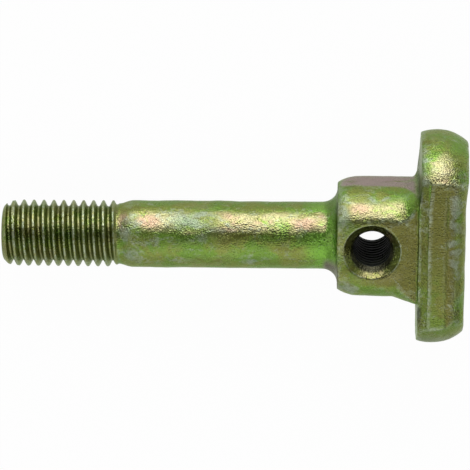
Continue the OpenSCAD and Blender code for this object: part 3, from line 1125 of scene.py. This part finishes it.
# The painted gold highlight, laid over the film's own tints
tint = over(plate, tint, GOLD, gold_highlight_and_tone)
tint = over(plate, tint, ROSE, rose_on_gold)
tint = over(plate, tint, GOLD, between(plate, warm, 0.54, 0.76, 0.4))
tint = over(plate, tint, ROSE, masked(plate, "rose_patch", blotch, 0.28, 0.48, 0.85))
tint = over(plate, tint, HAZE, hazy)
tint = over(plate, tint, PINK, masked(plate, "pink_blush", blotch, 0.22, 0.48, 0.95))
print("film tints:", sum(node.type == "MIX" for node in plate.nodes), "layers")

# %% [markdown]
# Wear, stains and painted shade.
# Worn edges, scuffs, thread crests and creases show pale metal. A scuff is a field of flecks, and thin
# scratches lie in it along the lines where a noise passes its middle value. Stains, pits and the painted
# shade come last, because they lie on top.

# %% Lay wear, stains and painted shade over the film
# Pale worn metal, and a dark colour for specks, pits and painted shade
PALE = (0.40, 0.46, 0.33, 1)
DARK_SPECK_AND_SHADE = (0.03, 0.03, 0.015, 1)
RUBBED_MORE, DULL_MORE = 0.10, 0.16

crest = between(plate, attribute(plate, "thread_height"), 0.80, 0.98)
crest = maths(plate, "MULTIPLY", crest, between(plate, fine, 0.34, 0.62, 0.75))
edge_wear = masked(plate, "worn_edge", blotch, 0.34, 0.60)
edge_wear = maths(plate, "MULTIPLY", edge_wear, between(plate, fine, 0.28, 0.62, 0.8))
rubbed = maths(plate, "MULTIPLY", attribute(plate, "rubbed"), RUBBED_MORE)
scuff_level = maths(plate, "ADD", smear, rubbed)
scuff_level = maths(plate, "ADD", scuff_level, maths(plate, "MULTIPLY", dull, DULL_MORE))
flecks = between(plate, scuff_level, 0.56, 0.76)
flecks = maths(plate, "MULTIPLY", flecks, between(plate, fine, 0.42, 0.66, 0.65))
contour = maths(plate, "ABSOLUTE", maths(plate, "SUBTRACT", scratch, 0.5))
lines = between(plate, contour, 0.014, 0.003)
lines = maths(plate, "MULTIPLY", lines, between(plate, scuff_level, 0.54, 0.68, 0.65))
crease = between(plate, attribute(plate, "crease_away"), 0.14, 0.03)
crease = maths(plate, "MULTIPLY", crease, between(plate, blotch, 0.34, 0.56, 0.75))
wear = edge_wear
for worn_place in (flecks, lines, crest, crease):
    wear = maths(plate, "MAXIMUM", wear, worn_place)

tint = over(plate, tint, PALE, wear)
tint = over(plate, tint, PALE, between(plate, grain, 0.60, 0.78, 0.35))
tint = over(plate, tint, DARK_SPECK_AND_SHADE, between(plate, grain, 0.42, 0.24, 0.5))
tint = over(plate, tint, BROWN, between(plate, stain, 0.54, 0.72, 0.65))
pits = between(plate, fine, 0.66, 0.76, 0.75)
# Dark pits, and the painted shade stored on the mesh
tint = over(plate, tint, DARK_SPECK_AND_SHADE, maths(plate, "MAXIMUM", pits, attribute(plate, "painted_shade")))
print("with wear and dirt:", sum(node.type == "MIX" for node in plate.nodes), "layers")

# %% [markdown]
# Gloss and relief.
# Fresh film is smooth, and rubbed or dull places are rougher. A fine bump gives the etched grain of the
# plate, and on the band the streaks that the trimming tool left. Metal turns white where it is seen edge
# on. A tint on that edge colour keeps the film's green there, and a thin clear coat adds the film's own
# shine.

# %% Set the gloss and finish the material
EDGE_TINT = (0.68, 0.77, 0.55, 1)
BUMP_HEIGHT = 0.09 * MM
WORN_ROUGHER, DULL_ROUGHER = 0.10, 0.22
FINE_RELIEF, BLOTCH_RELIEF, SHEAR_RELIEF = 0.7, 0.6, 0.4

gloss = ranged(plate, blotch, (0.3, 0.23), (0.7, 0.35))
gloss = maths(plate, "ADD", gloss, maths(plate, "MULTIPLY", wear, WORN_ROUGHER))
gloss = maths(plate, "ADD", gloss, maths(plate, "MULTIPLY", dull, DULL_ROUGHER))
on_band_only = maths(plate, "MULTIPLY", attribute(plate, "trim_band"), SHEAR_RELIEF)
streaks = maths(plate, "MULTIPLY", shear, on_band_only)
relief = maths(plate, "ADD", maths(plate, "MULTIPLY", fine, FINE_RELIEF), grain)
coarse = maths(plate, "ADD", streaks, maths(plate, "MULTIPLY", blotch, BLOTCH_RELIEF))
relief = maths(plate, "ADD", relief, coarse)
bumps = put(plate, "ShaderNodeBump", {"Strength": 1.0, "Distance": BUMP_HEIGHT, "Height": relief})
surface = put(plate, "ShaderNodeBsdfPrincipled", {
    "Base Color": tint,
    "Metallic": 1.0,
    "Roughness": gloss,
    "Normal": bumps.outputs[0],
    "Specular Tint": EDGE_TINT,
    "Coat Weight": 0.3,
    "Coat Roughness": 0.22,
    "Coat IOR": 1.5,
    "Coat Normal": bumps.outputs[0],
})
put(plate, "ShaderNodeOutputMaterial", {"Surface": surface.outputs[0]})
print("yellow zinc plate:", len(plate.nodes), "nodes")

# %% [markdown]
# The tapped thread.
# The faces of the tapped bore get a near-black finish of their own, in a second material slot of the same
# piece: painted shade for the inside of the hole, with a faint olive mottle and a low gloss.

# %% Paint the bore's shade, nearly black and dull
# Painted shade: near-black tints for the inside of the bore
BORE_DARK = (0.006, 0.008, 0.006, 1)
BORE_OLIVE = (0.025, 0.03, 0.016, 1)
BORE_ROOM = 0.02

shadowed = bpy.data.materials.new("painted_shade_bore")
shadowed.use_nodes = True
bore = shadowed.node_tree
bore.nodes.clear()
bore_spot = bore.nodes.new("ShaderNodeTexCoord").outputs["Object"]
in_mm = put(bore, "ShaderNodeVectorMath", {0: bore_spot, 1: (1 / MM,) * 3}, operation="MULTIPLY")
bore_place = in_mm.outputs[0]
film = noise(bore, bore_place, 1.2, detail=4.0)
bore_shade = over(bore, BORE_DARK, BORE_OLIVE, between(bore, film, 0.40, 0.70))
bore_gloss = ranged(bore, film, (0.3, 0.42), (0.7, 0.60))
bore_bumps = put(bore, "ShaderNodeBump", {"Strength": 0.6, "Distance": 0.02 * MM, "Height": film})
wall = put(bore, "ShaderNodeBsdfPrincipled", {
    "Base Color": bore_shade,
    "Specular IOR Level": 0.12,
    "Roughness": bore_gloss,
    "Normal": bore_bumps.outputs[0],
})
put(bore, "ShaderNodeOutputMaterial", {"Surface": wall.outputs[0]})

bolt.data.materials.clear()
bolt.data.materials.append(zinc)
bolt.data.materials.append(shadowed)
BORE_END = NECK_HALF - (SINK_R + CUT_ROOM - HOLE_R + CREST_IN)
flat = np.empty(len(bolt.data.polygons) * 3)
bolt.data.polygons.foreach_get("center", flat)
middles = flat.reshape(-1, 3)
bore_faces = np.hypot(middles[:, 0] - HOLE_U, middles[:, 1]) < HOLE_MAJOR_R + BORE_ROOM
bore_faces &= np.abs(middles[:, 2]) < BORE_END
bolt.data.polygons.foreach_set("material_index", bore_faces.astype(np.int32))
print("oiled bore:", int(bore_faces.sum()), "faces")

# %% [markdown]
# Put the bolt in its place.
# The mesh was made in the bolt's frame. Moving its points, not its object, into the world keeps the object
# at the origin, unturned and unscaled, as the solid model's own node is.

# %% Lay the bolt down and hand it to the frame
bolt.data.transform(bolt_to_world)
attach(bolt, "root")
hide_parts("hammer_head_bolt")
print("piece", bolt.name, "rides on root")

# %% [markdown]
# Floor and light.
# The bolt lies on a plain white table. The floor shows its own white to the camera and to reflections, with
# a share of real shading that keeps a soft shadow. A polished round bar shows its surroundings as long
# stripes, so the lamps decide where it looks bright or dark: a low wide softbox beyond the bolt, a softer
# one behind the camera's foot, and nothing bright straight above. The gold of the bright stripe is a
# painted highlight colour in the plate's tint.

# %% Make the floor and the world
FLOOR_SIZE = 3.0
FLOOR_WHITE = (0.9, 0.9, 0.9, 1)
WHITE_SHARE = 0.97
MIRROR_SHARE = 0.6


def white_share(tree):
    """How much of its plain white the floor shows to the camera, and to mirror and glass rays."""
    path = tree.nodes.new("ShaderNodeLightPath").outputs
    mirrored = maths(tree, "MAXIMUM", path["Is Glossy Ray"], path["Is Transmission Ray"])
    mirrored = maths(tree, "MULTIPLY", mirrored, MIRROR_SHARE)
    return maths(tree, "ADD", maths(tree, "MULTIPLY", path["Is Camera Ray"], WHITE_SHARE), mirrored)


floor_mesh = bpy.data.meshes.new("table_top")
half = FLOOR_SIZE / 2
floor_corners = [(-half, -half, 0), (half, -half, 0), (half, half, 0), (-half, half, 0)]
floor_mesh.from_pydata(floor_corners, [], [(0, 1, 2, 3)])
floor = mesh_object("table_top", floor_mesh)
paper = bpy.data.materials.new("white_paper")
paper.use_nodes = True
sheet = paper.node_tree
sheet.nodes.clear()
matt = put(sheet, "ShaderNodeBsdfDiffuse", {"Color": FLOOR_WHITE})
bright = put(sheet, "ShaderNodeEmission", {"Color": (1, 1, 1, 1), "Strength": 1.0})
shown = put(sheet, "ShaderNodeMixShader", {0: white_share(sheet), 1: matt.outputs[0], 2: bright.outputs[0]})
put(sheet, "ShaderNodeOutputMaterial", {"Surface": shown.outputs[0]})
floor_mesh.materials.append(paper)

ROOM_LIGHT = 0.13
world = bpy.data.worlds.new("studio_room")
world.use_nodes = True
room = world.node_tree
room.nodes.clear()
rays = room.nodes.new("ShaderNodeLightPath")
backdrop = put(room, "ShaderNodeBackground", {"Color": (1, 1, 1, 1), "Strength": 1.0})
dim = put(room, "ShaderNodeBackground", {"Color": (1, 1, 1, 1), "Strength": ROOM_LIGHT})
air_inputs = {0: rays.outputs["Is Camera Ray"], 1: dim.outputs[0], 2: backdrop.outputs[0]}
air = put(room, "ShaderNodeMixShader", air_inputs)
put(room, "ShaderNodeOutputWorld", {"Surface": air.outputs[0]})
bpy.context.scene.world = world
print("floor", FLOOR_SIZE, "m across, room light", ROOM_LIGHT)

# %% Hang the softboxes
# Each softbox: its place and target in metres, its width and height in metres, and its power in watts
SOFTBOXES = {
    "far_softbox": ((0.0, 0.46, 0.17), (0.0, 0.0, 0.005), 0.46, 0.34, 1.92),
    "near_softbox": ((0.0, -0.29, 0.33), (0.0, 0.0, 0.005), 0.70, 0.56, 1.25),
    "head_softbox": ((0.45, 0.05, 0.20), (0.02, 0.0, 0.005), 0.25, 0.20, 0.25),
    "tip_softbox": ((-0.45, -0.05, 0.20), (-0.02, 0.0, 0.005), 0.25, 0.20, 0.25),
}
for name, (stand, target, wide, tall, watts) in SOFTBOXES.items():
    lamp = bpy.data.lights.new(name, "AREA")
    lamp.shape = "RECTANGLE"
    lamp.size = wide
    lamp.size_y = tall
    lamp.energy = watts
    light = bpy.data.objects.new(name, lamp)
    light.location = stand
    light.rotation_euler = (Vector(target) - Vector(stand)).to_track_quat("-Z", "Y").to_euler()
    bpy.context.scene.collection.objects.link(light)
print(len(SOFTBOXES), "softboxes")

# %% [markdown]
# The camera.
# The photograph was taken from some way off with a long lens, nearly square onto the face of the cross
# hole. The view is given in the bolt's frame: how far the camera leans along the head bar, how far it turns
# along the axis, its roll, its distance and its aim. The lens follows from a focal length in pixels for a
# square image of 470 pixels.

# %% Set up the camera
IMAGE_SIDE = 470
SENSOR = 36.0
FOCAL_PIXELS = 2993.034
LEAN = math.radians(21.3)
YAW = math.radians(2.156)
ROLL = math.radians(-0.267)
DISTANCE = 450.739
AIM = Vector((-27.379, -0.091, 0.0))

to_camera = Vector((math.sin(YAW) * math.cos(LEAN), math.sin(LEAN), math.cos(YAW) * math.cos(LEAN)))
level = Vector((0, 1, 0)).cross(to_camera).normalized()
upright = to_camera.cross(level)
right = math.cos(ROLL) * level + math.sin(ROLL) * upright
up = -math.sin(ROLL) * level + math.cos(ROLL) * upright
lens = bpy.data.cameras.new("long_lens")
lens.sensor_width = SENSOR
lens.lens = FOCAL_PIXELS / IMAGE_SIDE * SENSOR
lens.clip_start = 0.01
lens.clip_end = 20.0
camera = bpy.data.objects.new("long_lens", lens)
turn = Matrix((turn_to_world @ right, turn_to_world @ up, turn_to_world @ to_camera)).transposed()
eye = bolt_to_world @ (AIM + DISTANCE * to_camera)
camera.matrix_world = Matrix.Translation(eye) @ turn.to_4x4()
bpy.context.scene.collection.objects.link(camera)
bpy.context.scene.camera = camera
bpy.context.scene.view_settings.view_transform = "Standard"
print("camera at", [round(x, 3) for x in eye], "lens", round(lens.lens, 1), "mm")
